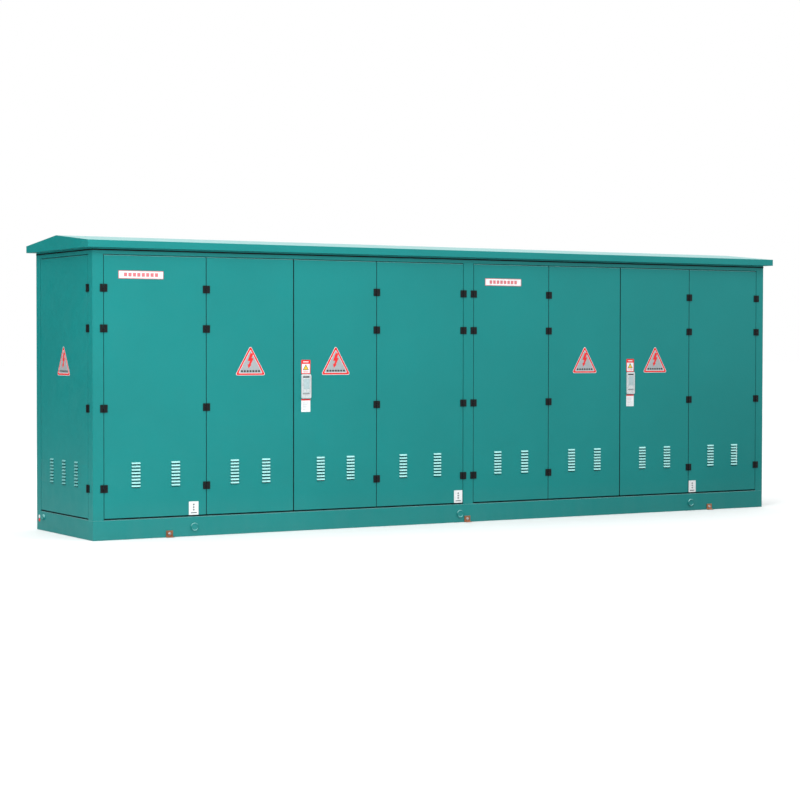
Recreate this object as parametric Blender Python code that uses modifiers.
"""A 10 kV outdoor switching station on a plinth: a sheet-steel enclosure with two bays of folding doors,
a gable roof, and a line of gas-insulated switchgear in each bay.

Metres, +Z up. The origin is on the ground under the middle of the enclosure, +X runs along the front from
left to right, and the front faces -Y.
"""

import math

import bmesh
import bpy
from mathutils import Matrix, Vector

# Enclosure
LENGTH = 6.600
DEPTH = 1.170
PLINTH_HEIGHT = 0.150
OPENING_TOP = 2.172
WALL_TOP = 2.2197
POST_WIDTH = 0.090
WALL_SHEET = 0.003
PLINTH_SHEET = 0.005
PLINTH_FLANGE = 0.060
CLEAR = 0.0003  # between pieces that touch

# Roof
EAVE = 2.220
FASCIA = 0.055
RIDGE = 2.335
OVERHANG_END = 0.060
OVERHANG_SIDE = 0.064
ROOF_SHEET = 0.002
ROOF_RETURN = 0.080

# Doors: the pitch of each leaf runs from the middle of one gap to the middle of the next
BAY_START = {"left": -LENGTH / 2 + POST_WIDTH, "right": 0.125}
LEAF_PITCHES = {"left": (0.857, 0.768, 0.767, 0.841), "right": (0.770, 0.768, 0.771, 0.783)}
END_DOOR_PITCH = DEPTH - 2 * 0.093
DOOR_BOTTOM = 0.160
DOOR_TOP = 2.166
DOOR_DEPTH = 0.030
DOOR_SHEET = 0.002
DOOR_RETURN = 0.020
HINGE_GAP = 0.005
MEETING_GAP = 0.008

# Door frames that line the openings
JAMB_DEPTH = 0.038
JAMB_SHEET = 0.0025
JAMB_REVEAL = 0.001  # how far the lining stands into the hinge gap's half width
REBATE = 0.016

# Hinges: a square of two halves on a pin that stands off the door's face
HINGE_ROWS = (0.392, 1.001, 1.609, 1.916)
PIN_STANDOFF = 0.008
HINGE_HALF_WIDTH = 0.030
HINGE_HALF_HEIGHT = 0.030
HINGE_PLATE = 0.005
KNUCKLE_RADIUS = 0.006
KNUCKLE_SIDES = 6
EDGE_STRIP = 0.0012
EDGE_STRIP_DEPTH = 0.011

# Louvre banks
LOUVRE_WIDTH = 0.070
LOUVRE_SLOT = 0.009
LOUVRE_PITCH = 0.0262
LOUVRE_COUNT = 8
LOUVRE_MIDDLE = 0.488

# Door lock: a face plate with a lift-up paddle, a key barrel and two bolt rods
LOCK_FROM_MEETING = 0.110
LOCK_WIDTH = 0.088
LOCK_BOTTOM = 1.058
LOCK_TOP = 1.252
LOCK_THICKNESS = 0.014
POCKET_BOTTOM = 1.090
POCKET_TOP = 1.238
POCKET_WIDTH = 0.066
POCKET_DEPTH = 0.009
PADDLE_BOTTOM = 1.098
PADDLE_TOP = 1.225
PADDLE_WIDTH = 0.062
PADDLE_THICKNESS = 0.005
PADDLE_PIVOT_DROP = 0.004
KEY_HEIGHT = 1.074
KEY_RADIUS = 0.010
ROD_WIDTH = 0.012
ROD_THICKNESS = 0.006
ROD_ENDS = {"upper": (1.240, 2.150), "lower": (0.175, 1.070)}

# Plinth fittings
LIFTING_SHAFTS = {"left": -2.457, "middle": -0.007, "right": 2.463}
SHAFT_HEIGHT = 0.072
SHAFT_RADIUS = 0.021
SHAFT_CAP_RADIUS = 0.031
SHAFT_CAP = 0.012
EARTH_LUGS = {"left": -2.6695, "middle": 0.065, "right": 2.675}
EARTH_HEIGHT = 0.027
EARTH_STUD_RADIUS = 0.006
EARTH_NUT_RADIUS = 0.010
EARTH_BAR_HEIGHT = 0.034
EARTH_BAR_THICKNESS = 0.005
LUG_WIDTH = 0.057
LUG_TOP = 0.052
LUG_FOOT = 0.032
LUG_SHEET = 0.004
CROSS_MEMBER_WIDTH = 0.040
CROSS_MEMBER_HEIGHT = 0.060
END_BOSS_Y = 0.433
END_BOSS_HEIGHT = 0.107
END_BOSS_RADIUS = 0.022

# Switchgear in each bay
MODULES = 6
MODULE_WIDTH = 0.480
GEAR_FRONT = -0.300
GEAR_MIDDLE = 0.020
GEAR_BACK = 0.480
GEAR_SHEET = 0.003
FLOOR_SHEET = 0.005
CABLE_BOX_TOP = 1.000
TANK_BOTTOM = 0.600
TANK_TOP = 1.500
DRIVE_BOX_TOP = 1.500
CONTROL_BOX_TOP = 1.950
BUSHING_HEIGHT = 0.780
BUSHING_SPACING = 0.125
BUSHING_LENGTH = 0.110
BUSHING_RADII = (0.042, 0.028)
SOCKET_RADIUS = 0.018
SOCKET_HEIGHTS = (1.130, 1.270)
CABLE_HOLE = (0.340, 0.160)
CABLE_HOLE_Y = -0.140

FRONT_Y = -DEPTH / 2
WALL_FRAMES = {
    "front": (Vector((0, FRONT_Y, 0)), 0.0),
    "right": (Vector((LENGTH / 2, 0, 0)), math.pi / 2),
    "rear": (Vector((0, DEPTH / 2, 0)), math.pi),
    "left": (Vector((-LENGTH / 2, 0, 0)), -math.pi / 2),
}


# ---------------------------------------------------------------------------------- scene and objects


def clear_scene():
    for obj in list(bpy.data.objects):
        bpy.data.objects.remove(obj, do_unlink=True)


def make_collection(name):
    collection = bpy.data.collections.new(name)
    bpy.context.scene.collection.children.link(collection)
    return collection


def material(name, colour, roughness, metallic=0.0):
    made = bpy.data.materials.new(name)
    made.use_nodes = True
    shader = made.node_tree.nodes["Principled BSDF"]
    shader.inputs["Base Color"].default_value = (*colour, 1.0)
    shader.inputs["Roughness"].default_value = roughness
    shader.inputs["Metallic"].default_value = metallic
    made.diffuse_color = (*colour, 1.0)
    return made


def add_object(name, bm, parent=None, finish=None, collection=None):
    mesh = bpy.data.meshes.new(name)
    bm.normal_update()
    bm.to_mesh(mesh)
    bm.free()
    obj = bpy.data.objects.new(name, mesh)
    (collection or PARTS).objects.link(obj)
    obj.parent = parent
    if finish:
        mesh.materials.append(finish)
    return obj


def add_empty(name, place, turn=0.0, parent=None):
    """A frame for what is parented to it: at place, turned about Z."""
    empty = bpy.data.objects.new(name, None)
    PARTS.objects.link(empty)
    empty.location = place
    empty.rotation_euler = (0, 0, turn)
    empty.parent = parent
    return empty


# ---------------------------------------------------------------------------------- shapes


def box(bm, low, high):
    """Adds a box between two corners, given in any order."""
    low, high = Vector(low), Vector(high)
    size = [abs(high[k] - low[k]) for k in range(3)]
    place = Matrix.Translation((low + high) / 2) @ Matrix.Diagonal((*size, 1))
    return bmesh.ops.create_cube(bm, size=1.0, matrix=place)["verts"]


def cylinder(bm, start, end, radii, sides):
    """Adds a round bar or cone from start to end, with a radius at each."""
    start, end = Vector(start), Vector(end)
    turn = (end - start).to_track_quat("Z", "Y").to_matrix().to_4x4()
    place = Matrix.Translation((start + end) / 2) @ turn
    bmesh.ops.create_cone(
        bm, cap_ends=True, segments=sides, radius1=radii[0], radius2=radii[1],
        depth=(end - start).length, matrix=place,
    )


def boxes(*corners):
    bm = bmesh.new()
    for low, high in corners:
        box(bm, low, high)
    return bm


def faces_towards(bm, direction):
    return [f for f in bm.faces if f.normal.dot(Vector(direction)) > 0.99]


def folded_sheet(low, high, open_sides=(), returned_sides=(), lip=0.0):
    """A box of thin sheet: open sides are removed, and returned sides keep only a lip round their edge."""
    bm = bmesh.new()
    box(bm, low, high)
    bm.normal_update()
    for side in returned_sides:
        found = faces_towards(bm, side)
        bmesh.ops.inset_region(bm, faces=found, thickness=lip, use_even_offset=True)
        bmesh.ops.delete(bm, geom=found, context="FACES")
    for side in open_sides:
        bmesh.ops.delete(bm, geom=faces_towards(bm, side), context="FACES")
    return bm


def solidify(obj, thickness, outward=False):
    modifier = obj.modifiers.new("sheet", "SOLIDIFY")
    modifier.thickness = thickness
    modifier.offset = 1.0 if outward else -1.0
    modifier.use_even_offset = True


def boolean(obj, other, operation):
    """Cuts other out of obj, or joins it on, and keeps other out of the render."""
    other.hide_render = True
    other.display_type = "WIRE"
    modifier = obj.modifiers.new(operation.lower(), "BOOLEAN")
    modifier.operation = operation
    modifier.solver = "EXACT"
    modifier.object = other


def cut(obj, bm):
    boolean(obj, add_object(obj.name + "_cutter", bm, obj.parent, None, CUTTERS), "DIFFERENCE")


def join(obj, bm):
    boolean(obj, add_object(obj.name + "_join", bm, obj.parent, None, CUTTERS), "UNION")


def evaluated_mesh(obj):
    """The object's mesh with its modifiers applied. The object and its helpers are removed."""
    bpy.context.view_layer.update()
    graph = bpy.context.evaluated_depsgraph_get()
    mesh = bpy.data.meshes.new_from_object(obj.evaluated_get(graph))
    helpers = [m.object for m in obj.modifiers if m.type == "BOOLEAN"]
    for helper in [*helpers, obj]:
        bpy.data.objects.remove(helper, do_unlink=True)
    return mesh


# ---------------------------------------------------------------------------------- enclosure


def bay_edges(bay):
    start = BAY_START[bay]
    return start, start + sum(LEAF_PITCHES[bay])


def make_plinth():
    """A ring of channel with cross members, holes for the lifting shafts and earth studs, and end bosses.

    The cross members lie under the middle legs of the tank stands and under the wall between the bays."""
    half = Vector((LENGTH / 2, DEPTH / 2, 0))
    bm = folded_sheet(
        -half, half + Vector((0, 0, PLINTH_HEIGHT)), returned_sides=((0, 0, 1), (0, 0, -1)), lip=PLINTH_FLANGE
    )
    plinth = add_object("plinth", bm, None, PAINT)
    solidify(plinth, PLINTH_SHEET)
    inside = DEPTH / 2 - PLINTH_SHEET / 2
    top = PLINTH_HEIGHT - PLINTH_SHEET / 2
    members = bmesh.new()
    between_bays = (bay_edges("left")[1] + bay_edges("right")[0]) / 2
    half_width = CROSS_MEMBER_WIDTH / 2
    for x in (sum(bay_edges("left")) / 2, between_bays, sum(bay_edges("right")) / 2):
        box(members, (x - half_width, -inside, top - CROSS_MEMBER_HEIGHT), (x + half_width, inside, top))
    join(plinth, members)
    bosses = bmesh.new()
    for end in (-1, 1):
        x = end * LENGTH / 2
        at = (END_BOSS_Y, END_BOSS_HEIGHT)
        cylinder(
            bosses, (x - end * PLINTH_SHEET / 2, *at), (x + end * SHAFT_CAP, *at), (END_BOSS_RADIUS,) * 2, 8
        )
    boolean(plinth, add_object("plinth_bosses", bosses, None, None, CUTTERS), "UNION")
    holes = bmesh.new()
    shaft_hole = SHAFT_RADIUS + 0.001
    stud_hole = EARTH_STUD_RADIUS + 0.001
    for x in LIFTING_SHAFTS.values():
        at = (x, SHAFT_HEIGHT)
        cylinder(holes, (at[0], -DEPTH, at[1]), (at[0], DEPTH, at[1]), (shaft_hole,) * 2, 8)
    for x in EARTH_LUGS.values():
        cylinder(holes, (x, -DEPTH, EARTH_HEIGHT), (x, 0, EARTH_HEIGHT), (stud_hole,) * 2, 8)
    cut(plinth, holes)


def make_enclosure_frame():
    """Corner posts, mullions, top rails and the wall between the bays, welded as one, with the openings cut."""
    half = Vector((LENGTH / 2, DEPTH / 2, 0))
    low = -half + Vector((0, 0, PLINTH_HEIGHT + CLEAR))
    bm = folded_sheet(low, half + Vector((0, 0, WALL_TOP)), open_sides=((0, 0, 1), (0, 0, -1)))
    frame = add_object("enclosure_frame", bm, None, PAINT)
    solidify(frame, WALL_SHEET)
    reach = HINGE_GAP / 2
    openings = bmesh.new()
    below = PLINTH_HEIGHT - 0.05
    for bay in BAY_START:
        left, right = bay_edges(bay)
        for wall in (-1, 1):
            y = wall * DEPTH / 2
            box(openings, (left - reach, y - 0.02, below), (right + reach, y + 0.02, OPENING_TOP))
    half_end = END_DOOR_PITCH / 2 + reach
    for end in (-1, 1):
        x = end * LENGTH / 2
        box(openings, (x - 0.02, -half_end, below), (x + 0.02, half_end, OPENING_TOP))
    cut(frame, openings)
    middle = (bay_edges("left")[1] + bay_edges("right")[0]) / 2
    y = DEPTH / 2 - WALL_SHEET / 2
    partition = ((middle - 0.001, -y, PLINTH_HEIGHT + 0.002), (middle + 0.001, y, WALL_TOP - 0.010))
    join(frame, boxes(partition))


def make_roof():
    """A gable of folded sheet with a deep fascia and a return that rests on the walls."""
    x = LENGTH / 2 + OVERHANG_END
    y = DEPTH / 2 + OVERHANG_SIDE
    bm = bmesh.new()
    box(bm, (-x, -y, EAVE), (x, y, EAVE + FASCIA))
    everything = bm.verts[:] + bm.edges[:] + bm.faces[:]
    bmesh.ops.bisect_plane(bm, geom=everything, plane_co=(0, 0, 0), plane_no=(0, 1, 0))
    for vert in bm.verts:
        if abs(vert.co.y) < 1e-6 and vert.co.z > EAVE + FASCIA / 2:
            vert.co.z = RIDGE
    bm.normal_update()
    underside = faces_towards(bm, (0, 0, -1))
    bmesh.ops.inset_region(bm, faces=underside, thickness=ROOF_RETURN, use_even_offset=True)
    bmesh.ops.delete(bm, geom=underside, context="FACES")
    roof = add_object("roof", bm, None, PAINT)
    solidify(roof, ROOF_SHEET)


def make_rear_panels():
    """A bolted pan in each rear opening, with two louvre banks."""
    wall = WALLS["rear"]
    for bay in BAY_START:
        left, right = bay_edges(bay)
        name = f"rear_panel_{bay}"
        inset = 0.001
        bm = folded_sheet(
            (-right + inset, 0, DOOR_BOTTOM), (-left - inset, 0.025, DOOR_TOP),
            returned_sides=((0, 1, 0),), lip=DOOR_RETURN,
        )
        panel = add_object(name, bm, wall, PAINT)
        solidify(panel, DOOR_SHEET)
        middle = -(left + right) / 2
        spread = (right - left) / 4
        cut(panel, louvre_slots((middle - spread, middle + spread), 0.0))


def louvre_slots(columns, face):
    """Cutters for banks of slots through a sheet whose outer face is at depth face."""
    bm = bmesh.new()
    for u in columns:
        for row in range(LOUVRE_COUNT):
            z = LOUVRE_MIDDLE + (row - (LOUVRE_COUNT - 1) / 2) * LOUVRE_PITCH
            box(
                bm,
                (u - LOUVRE_WIDTH / 2, face - 0.005, z - LOUVRE_SLOT / 2),
                (u + LOUVRE_WIDTH / 2, face + 0.008, z + LOUVRE_SLOT / 2),
            )
    return bm


def make_lifting_shafts():
    """Shafts right through the plinth, with a round cap on each end that a sling goes round."""
    face = DEPTH / 2 + CLEAR
    for place, x in LIFTING_SHAFTS.items():
        bm = bmesh.new()
        at = (x, SHAFT_HEIGHT)
        reach = face + SHAFT_CAP / 2
        cylinder(bm, (at[0], -reach, at[1]), (at[0], reach, at[1]), (SHAFT_RADIUS,) * 2, 8)
        shaft = add_object(f"lifting_shaft_{place}", bm, None, PAINT)
        caps = bmesh.new()
        for side in (-1, 1):
            ends = [(x, side * y, SHAFT_HEIGHT) for y in (face, face + SHAFT_CAP)]
            cylinder(caps, *ends, (SHAFT_CAP_RADIUS,) * 2, 16)
        join(shaft, caps)


def make_earthing():
    """A copper bar inside the plinth, its studs out through the front, and an angle lug on each stud."""
    inner = FRONT_Y + PLINTH_SHEET + CLEAR
    low = (min(EARTH_LUGS.values()) - 0.06, inner, EARTH_HEIGHT - EARTH_BAR_HEIGHT / 2)
    high = (max(EARTH_LUGS.values()) + 0.06, inner + EARTH_BAR_THICKNESS, EARTH_HEIGHT + EARTH_BAR_HEIGHT / 2)
    bar = add_object("earth_bar", boxes((low, high)), None, COPPER)
    nut_face = FRONT_Y - LUG_SHEET - 2 * CLEAR
    studs = bmesh.new()
    nuts = bmesh.new()
    for x in EARTH_LUGS.values():
        stud = [(x, y, EARTH_HEIGHT) for y in (inner + EARTH_BAR_THICKNESS / 2, nut_face - 0.014)]
        cylinder(studs, *stud, (EARTH_STUD_RADIUS,) * 2, 6)
        nut = [(x, y, EARTH_HEIGHT) for y in (nut_face, nut_face - 0.009)]
        cylinder(nuts, *nut, (EARTH_NUT_RADIUS,) * 2, 6)
    join(bar, studs)
    boolean(bar, add_object("earth_nuts", nuts, None, None, CUTTERS), "UNION")
    back = FRONT_Y - CLEAR
    for place, x in EARTH_LUGS.items():
        left, right = x - LUG_WIDTH / 2, x + LUG_WIDTH / 2
        lug = add_object(
            f"earth_lug_{place}", boxes(((left, back - LUG_SHEET, 0.001), (right, back, LUG_TOP))), None, COPPER
        )
        join(lug, boxes(((left, back - LUG_FOOT, 0.001), (right, back - LUG_SHEET / 2, 0.001 + LUG_SHEET))))
        hole = bmesh.new()
        ends = [(x, y, EARTH_HEIGHT) for y in (back + 0.01, back - 0.02)]
        cylinder(hole, *ends, (EARTH_STUD_RADIUS + 0.001,) * 2, 8)
        cut(lug, hole)


# ---------------------------------------------------------------------------------- hinges and doors


def hinge_half_mesh(side, upper):
    """Half of a hinge about a pin at the origin: its plate on one side, a knuckle on the upper or lower half
    of the pin, and a tab that reaches into the gap to the strip that carries it."""
    z0, z1 = (0.0004, HINGE_HALF_HEIGHT) if upper else (-HINGE_HALF_HEIGHT, -0.0004)
    front = PIN_STANDOFF - CLEAR - HINGE_PLATE
    back = PIN_STANDOFF - CLEAR
    plate = boxes(((side * 0.0068, front, -HINGE_HALF_HEIGHT), (side * HINGE_HALF_WIDTH, back, HINGE_HALF_HEIGHT)))
    half = add_object("hinge_half", plate)
    join(half, boxes(((side * 0.0012, front, z0), (side * 0.012, back, z1))))
    for corners in [((side * 0.0011, back - 0.003, z0 + 0.001 * (1 if upper else 2)),
                     (side * 0.0021, PIN_STANDOFF + 0.008, z1 - 0.002))]:
        boolean(half, add_object("hinge_tab", boxes(corners), None, None, CUTTERS), "UNION")
    knuckle = bmesh.new()
    cylinder(knuckle, (0, 0, z0), (0, 0, z1), (KNUCKLE_RADIUS,) * 2, KNUCKLE_SIDES)
    boolean(half, add_object("hinge_knuckle", knuckle, None, None, CUTTERS), "UNION")
    return evaluated_mesh(half)


def hinge_halves(places):
    """One mesh of hinge halves: places holds (side, upper, u of the pin, d of the pin)."""
    bm = bmesh.new()
    for side, upper, u, d in places:
        for z in HINGE_ROWS:
            before = len(bm.verts)
            bm.from_mesh(HINGE_HALVES[side, upper])
            bm.verts.ensure_lookup_table()
            bmesh.ops.translate(bm, verts=bm.verts[before:], vec=(u, d, z))
    return bm


def make_door_frame(name, wall, left, right, pins):
    """The folded lining of an opening, with a rebate behind the doors and the fixed hinge halves on it."""
    bm = folded_sheet(
        (left - JAMB_REVEAL, WALL_SHEET + CLEAR, PLINTH_HEIGHT + 0.0035),
        (right + JAMB_REVEAL, JAMB_DEPTH, OPENING_TOP - 0.001),
        open_sides=((0, -1, 0),), returned_sides=((0, 1, 0),), lip=REBATE,
    )
    frame = add_object(name, bm, wall, PAINT)
    solidify(frame, JAMB_SHEET, outward=True)
    join(frame, hinge_halves([(side, False, u, -PIN_STANDOFF) for side, u in pins]))


def leaf_span(side, pitch, far_gap):
    """Near and far edge of a leaf, as distances from its pin."""
    return side * HINGE_GAP / 2, side * (pitch - far_gap / 2)


def make_leaf(name, pivot, side, pitch, far_gap, columns, carries_next):
    """A door leaf hung on pivot, and the edge strip round it that carries its hinge halves."""
    near, far = leaf_span(side, pitch, far_gap)
    low, high = min(near, far), max(near, far)
    face = PIN_STANDOFF
    bm = folded_sheet(
        (low, face, DOOR_BOTTOM), (high, face + DOOR_DEPTH, DOOR_TOP), returned_sides=((0, 1, 0),), lip=DOOR_RETURN
    )
    leaf = add_object(name, bm, pivot, PAINT)
    solidify(leaf, DOOR_SHEET)
    middle = (near + far) / 2
    cut(leaf, louvre_slots([middle + c for c in columns], face))

    strip = folded_sheet(
        (low - CLEAR, face + 0.001, DOOR_BOTTOM - CLEAR),
        (high + CLEAR, face + 0.001 + EDGE_STRIP_DEPTH, DOOR_TOP + CLEAR),
        open_sides=((0, -1, 0), (0, 1, 0)),
    )
    hinges = add_object(name + "_hinges", strip, pivot, BLACK_ZINC)
    solidify(hinges, EDGE_STRIP, outward=True)
    places = [(side, True, 0.0, 0.0)]
    if carries_next:
        places.append((-side, False, side * pitch, 0.0))
    join(hinges, hinge_halves(places))


def leaf_columns(pitch):
    reach = 0.166 if pitch > 0.8 else 0.138
    return (-reach, reach)


def make_bay_doors():
    """Four leaves a bay: the outer ones hang on the frame, and the inner ones fold on the outer ones."""
    number = 0
    for bay, pitches in LEAF_PITCHES.items():
        left, right = bay_edges(bay)
        make_door_frame(f"door_frame_{bay}", WALLS["front"], left, right, [(-1, left), (1, right)])
        for side, edge, pair in ((1, left, pitches[:2]), (-1, right, pitches[:1:-1])):
            numbers = (number + 1, number + 2) if side > 0 else (number + 4, number + 3)
            outer = add_empty(f"door_{numbers[0]}_pivot", (edge, -PIN_STANDOFF, 0), parent=WALLS["front"])
            inner = add_empty(f"door_{numbers[1]}_pivot", (side * pair[0], 0, 0), parent=outer)
            make_leaf(f"door_{numbers[0]}", outer, side, pair[0], HINGE_GAP, leaf_columns(pair[0]), True)
            make_leaf(f"door_{numbers[1]}", inner, side, pair[1], MEETING_GAP, leaf_columns(pair[1]), False)
        make_lock(bay, inner, pitches[2])
        number += 4


def make_end_doors():
    """One leaf in each end wall, hung on its front edge."""
    half = END_DOOR_PITCH / 2
    for end, side in (("left", -1), ("right", 1)):
        wall = WALLS[end]
        pin = -side * half
        make_door_frame(f"end_door_frame_{end}", wall, -half, half, [(-side, pin)])
        pivot = add_empty(f"end_door_{end}_pivot", (pin, -PIN_STANDOFF, 0), parent=wall)
        make_leaf(f"end_door_{end}", pivot, side, END_DOOR_PITCH, HINGE_GAP, (-0.253, 0.0, 0.253), False)


def make_lock(bay, pivot, pitch):
    """The face plate, paddle, key barrel and bolt rods of the leaf that closes last, hung on pivot."""
    u = -(pitch - LOCK_FROM_MEETING)
    back = PIN_STANDOFF - CLEAR
    front = back - LOCK_THICKNESS
    half = LOCK_WIDTH / 2
    plate = add_object(
        f"lock_plate_{bay}", boxes(((u - half, front, LOCK_BOTTOM), (u + half, back, LOCK_TOP))), pivot, BRIGHT_ZINC
    )
    half = POCKET_WIDTH / 2
    cut(plate, boxes(((u - half, front - 0.01, POCKET_BOTTOM), (u + half, front + POCKET_DEPTH, POCKET_TOP))))
    bore = bmesh.new()
    depth = front + 0.010
    cylinder(bore, (u, front - 0.01, KEY_HEIGHT), (u, depth, KEY_HEIGHT), (KEY_RADIUS + 0.0005,) * 2, 16)
    boolean(plate, add_object(f"lock_bore_{bay}", bore, pivot, None, CUTTERS), "DIFFERENCE")

    # The paddle turns about a pin across its top end, half way through its thickness
    pin = add_empty(
        f"paddle_{bay}_pivot", (u, front + PADDLE_THICKNESS / 2, PADDLE_TOP - PADDLE_PIVOT_DROP), parent=pivot
    )
    half = PADDLE_WIDTH / 2
    corners = (
        (-half, -PADDLE_THICKNESS / 2, PADDLE_BOTTOM - PADDLE_TOP + PADDLE_PIVOT_DROP),
        (half, PADDLE_THICKNESS / 2, PADDLE_PIVOT_DROP),
    )
    add_object(f"lock_paddle_{bay}", boxes(corners), pin, BRIGHT_ZINC)

    key = add_empty(f"key_{bay}_pivot", (u, 0, KEY_HEIGHT), parent=pivot)
    barrel = bmesh.new()
    cylinder(barrel, (0, front - 0.002, 0), (0, depth - CLEAR, 0), (KEY_RADIUS,) * 2, 16)
    key_barrel = add_object(f"key_barrel_{bay}", barrel, key, BRIGHT_ZINC)
    cut(key_barrel, boxes(((-0.001, front - 0.01, -0.005), (0.001, front + 0.004, 0.005))))

    for rod, (bottom, top) in ROD_ENDS.items():
        d = PIN_STANDOFF + DOOR_DEPTH + 0.0015
        half = ROD_WIDTH / 2
        corners = ((u - half, d, bottom), (u + half, d + ROD_THICKNESS, top))
        add_object(f"bolt_rod_{rod}_{bay}", boxes(corners), pivot, GALVANISED)


# ---------------------------------------------------------------------------------- switchgear


def make_gland_plate(bay, centre):
    """The bay's floor, with one cable hole under each module."""
    left, right = bay_edges(bay)
    y = DEPTH / 2 - 0.045
    z = PLINTH_HEIGHT + CLEAR
    corners = ((left + 0.020, -y, z), (right - 0.020, y, z + FLOOR_SHEET))
    floor = add_object(f"gland_plate_{bay}", boxes(corners), None, GALVANISED)
    holes = bmesh.new()
    for x in module_centres(centre):
        box(
            holes,
            (x - CABLE_HOLE[0] / 2, CABLE_HOLE_Y - CABLE_HOLE[1] / 2, z - 0.01),
            (x + CABLE_HOLE[0] / 2, CABLE_HOLE_Y + CABLE_HOLE[1] / 2, z + 0.01),
        )
    cut(floor, holes)


def module_centres(centre):
    return [centre + (k - (MODULES - 1) / 2) * MODULE_WIDTH for k in range(MODULES)]


def make_cable_box(bay, centre):
    """The lower compartments: a top sheet and partitions, open to the front, the floor and the tank behind."""
    half = MODULES * MODULE_WIDTH / 2
    bottom = PLINTH_HEIGHT + FLOOR_SHEET + 2 * CLEAR
    bm = folded_sheet(
        (centre - half, GEAR_FRONT, bottom), (centre + half, GEAR_MIDDLE, CABLE_BOX_TOP),
        open_sides=((0, -1, 0), (0, 1, 0), (0, 0, -1)),
    )
    cable_box = add_object(f"cable_box_{bay}", bm, None, GEAR_GREY)
    solidify(cable_box, GEAR_SHEET)
    partitions = bmesh.new()
    for x in module_centres(centre)[1:]:
        edge = x - MODULE_WIDTH / 2
        box(
            partitions,
            (edge - GEAR_SHEET / 2, GEAR_FRONT + 0.002, bottom + 0.002),
            (edge + GEAR_SHEET / 2, GEAR_MIDDLE - 0.002, CABLE_BOX_TOP - GEAR_SHEET / 2),
        )
    join(cable_box, partitions)


def make_gas_tank(bay, centre):
    """The welded gas tank behind both front compartments, with three cable bushings for each module."""
    half = MODULES * MODULE_WIDTH / 2
    front = GEAR_MIDDLE + CLEAR
    bm = folded_sheet(
        (centre - half, front, TANK_BOTTOM), (centre + half, GEAR_BACK, TANK_TOP),
        returned_sides=((0, 1, 0),), lip=0.12,
    )
    tank = add_object(f"gas_tank_{bay}", bm, None, STAINLESS)
    solidify(tank, GEAR_SHEET)
    bushings = bmesh.new()
    for x in module_centres(centre):
        for k in (-1, 0, 1):
            u = x + k * BUSHING_SPACING
            ends = [(u, y, BUSHING_HEIGHT) for y in (front + GEAR_SHEET / 2, front - BUSHING_LENGTH)]
            cylinder(bushings, *ends, BUSHING_RADII, 6)
    join(tank, bushings)


def make_tank_stand(bay, centre):
    """The welded stand that carries the tank: a leg at each side and two rails across."""
    half = MODULES * MODULE_WIDTH / 2
    bottom = PLINTH_HEIGHT + FLOOR_SHEET + 2 * CLEAR
    top = TANK_BOTTOM - CLEAR
    leg = 0.040
    front = GEAR_MIDDLE + 0.010
    stand = add_object(
        f"tank_stand_{bay}",
        boxes(((centre - half, front, top - leg), (centre + half, front + leg, top))), None, GEAR_GREY,
    )
    more = bmesh.new()
    box(more, (centre - half, GEAR_BACK - leg, top - leg), (centre + half, GEAR_BACK, top))
    join(stand, more)
    uprights = bmesh.new()
    for x in (centre - half, centre - leg / 2, centre + half - leg):
        for y in (front, GEAR_BACK - leg):
            box(uprights, (x + 0.001, y + 0.001, bottom), (x + leg - 0.001, y + leg - 0.001, top - leg / 2))
    boolean(stand, add_object(f"stand_uprights_{bay}", uprights, None, None, CUTTERS), "UNION")
    ties = bmesh.new()
    for x in (centre - half, centre - leg / 2, centre + half - leg):
        box(ties, (x + 0.002, front + 0.002, top - leg + 0.002), (x + leg - 0.002, GEAR_BACK - 0.002, top - 0.002))
    boolean(stand, add_object(f"stand_ties_{bay}", ties, None, None, CUTTERS), "UNION")


def make_drive_box(bay, centre):
    """The drive compartment's front box, with two lever sockets for each module."""
    half = MODULES * MODULE_WIDTH / 2
    bm = folded_sheet(
        (centre - half, GEAR_FRONT, CABLE_BOX_TOP + CLEAR), (centre + half, GEAR_MIDDLE, DRIVE_BOX_TOP),
        open_sides=((0, 1, 0),),
    )
    drive_box = add_object(f"drive_box_{bay}", bm, None, GEAR_GREY)
    solidify(drive_box, GEAR_SHEET)
    sockets = bmesh.new()
    for x in module_centres(centre):
        for z in SOCKET_HEIGHTS:
            ends = [(x, GEAR_FRONT + y, z) for y in (-0.02, 0.02)]
            cylinder(sockets, *ends, (SOCKET_RADIUS,) * 2, 6)
    cut(drive_box, sockets)


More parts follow.
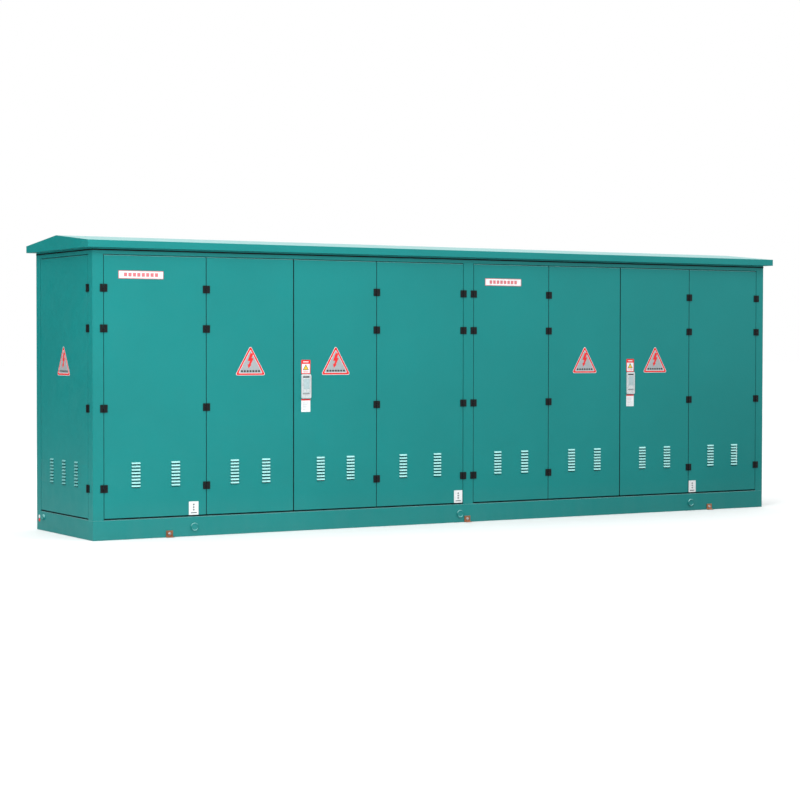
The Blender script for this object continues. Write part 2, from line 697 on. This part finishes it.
def make_control_box(bay, centre):
    """The low-voltage compartment on top, open to the back."""
    half = MODULES * MODULE_WIDTH / 2
    bm = folded_sheet(
        (centre - half, GEAR_FRONT, DRIVE_BOX_TOP + CLEAR), (centre + half, GEAR_MIDDLE, CONTROL_BOX_TOP),
        open_sides=((0, 1, 0),),
    )
    solidify(add_object(f"control_box_{bay}", bm, None, GEAR_GREY), GEAR_SHEET)


def make_cable_cover(bay, centre):
    """The lift-off cover of the cable compartment."""
    half = MODULES * MODULE_WIDTH / 2 - 0.002
    front = GEAR_FRONT - 0.020
    bm = folded_sheet(
        (centre - half, front, 0.170), (centre + half, GEAR_FRONT - CLEAR, CABLE_BOX_TOP - 0.004),
        open_sides=((0, 1, 0),),
    )
    solidify(add_object(f"cable_cover_{bay}", bm, None, GEAR_GREY), DOOR_SHEET)


def make_switchgear():
    for bay in BAY_START:
        left, right = bay_edges(bay)
        centre = (left + right) / 2
        make_gland_plate(bay, centre)
        make_cable_box(bay, centre)
        make_tank_stand(bay, centre)
        make_gas_tank(bay, centre)
        make_drive_box(bay, centre)
        make_control_box(bay, centre)
        make_cable_cover(bay, centre)


clear_scene()
PARTS = make_collection("outdoor_switching_station")
CUTTERS = make_collection("cutters")
PAINT = material("teal_paint", (0.030, 0.310, 0.290), 0.45)
GALVANISED = material("galvanised_steel", (0.55, 0.57, 0.58), 0.45, 0.9)
BLACK_ZINC = material("black_zinc", (0.02, 0.02, 0.022), 0.4)
BRIGHT_ZINC = material("bright_zinc", (0.72, 0.74, 0.76), 0.25, 0.9)
COPPER = material("copper", (0.72, 0.32, 0.16), 0.3, 1.0)
STAINLESS = material("stainless_steel", (0.60, 0.61, 0.62), 0.3, 1.0)
GEAR_GREY = material("switchgear_grey", (0.62, 0.64, 0.62), 0.5)
HINGE_HALVES = {(side, upper): hinge_half_mesh(side, upper) for side in (-1, 1) for upper in (False, True)}
WALLS = {name: add_empty(f"{name}_wall", place, turn) for name, (place, turn) in WALL_FRAMES.items()}
make_plinth()
make_enclosure_frame()
make_roof()
make_rear_panels()
make_lifting_shafts()
make_earthing()
make_bay_doors()
make_end_doors()
make_switchgear()
